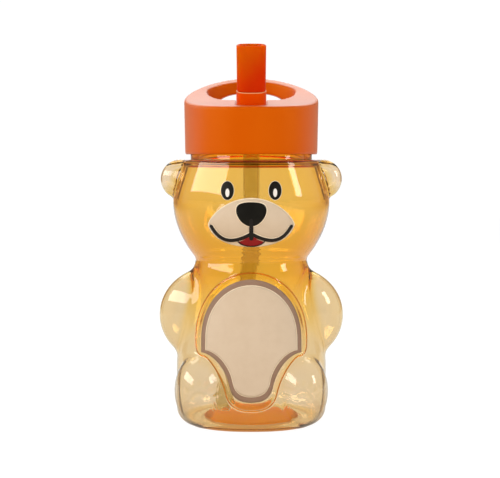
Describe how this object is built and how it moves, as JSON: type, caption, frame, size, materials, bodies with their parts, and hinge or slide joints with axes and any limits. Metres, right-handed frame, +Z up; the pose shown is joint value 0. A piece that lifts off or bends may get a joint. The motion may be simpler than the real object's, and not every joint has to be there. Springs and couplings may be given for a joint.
{
  "type": "water bottle",
  "caption": "Bear-shaped see-through water bottle with a screw-on lid, a carry loop, a flip-up spout that folds into the lid, and a drinking straw.",
  "frame": {"origin": "middle of the bottle's footprint box, on the surface that it stands on", "axes": "+Z up along the neck; the bear faces -Y; +X is on the bear's own left"},
  "size_m": [0.0964, 0.0817, 0.1964],
  "materials": {
    "amber_body": "see-through amber plastic, polished",
    "orange_lid": "moulded orange plastic with a fine satin texture",
    "inner_cap": "plain moulded off-white plastic",
    "orange_spout": "moulded orange plastic",
    "soft_spout": "translucent orange silicone",
    "clear_seal": "milky silicone",
    "clear_straw": "see-through soft plastic",
    "tan_ink": "printed ink, satin",
    "brown_ink": "printed ink, satin",
    "black_ink": "printed ink, satin",
    "red_ink": "printed ink, satin",
    "white_ink": "printed ink, satin"
  },
  "bodies": {
    "bottle": {"bottle_body": "amber_body", "belly_border_print": "brown_ink", "belly_fill_print": "tan_ink", "muzzle_print": "tan_ink", "nose_print": "black_ink", "mouth_print": "black_ink", "tongue_print": "red_ink", "left_eye_print": "black_ink", "left_eye_glint_print": "white_ink", "right_eye_print": "black_ink", "right_eye_glint_print": "white_ink"},
    "gasket": {"lid_gasket": "clear_seal"},
    "valve": {"vent_valve": "clear_seal"},
    "lid": {"lid_shell": "orange_lid", "lid_inner_cap": "inner_cap", "spout_seal": "clear_seal", "straw": "clear_straw"},
    "spout": {"spout_base": "orange_spout", "mouthpiece": "soft_spout"}
  },
  "joints": [
    {"name": "lid_lift_off", "type": "slide", "parent": "bottle", "child": "gasket", "axis": [0, 0, 1], "range_m": [0, 0.15]},
    {"name": "lid_rise", "type": "slide", "parent": "gasket", "child": "valve", "axis": [0, 0, 1], "range_m": [0, 0.00526]},
    {"name": "lid_turn", "type": "hinge", "parent": "valve", "child": "lid", "pos_m": [0, 0, 0.1405], "axis": [0, 0, 1], "range_deg": [0, 450]},
    {"name": "spout_flip", "type": "hinge", "parent": "lid", "child": "spout", "pos_m": [0, -0.0157, 0.1619], "axis": [-1, 0, 0], "range_deg": [0, 100]}
  ],
  "couplings": [
    {"joint": "lid_rise", "follows": "lid_turn", "m_per_rad": 0.00066845}
  ]
}
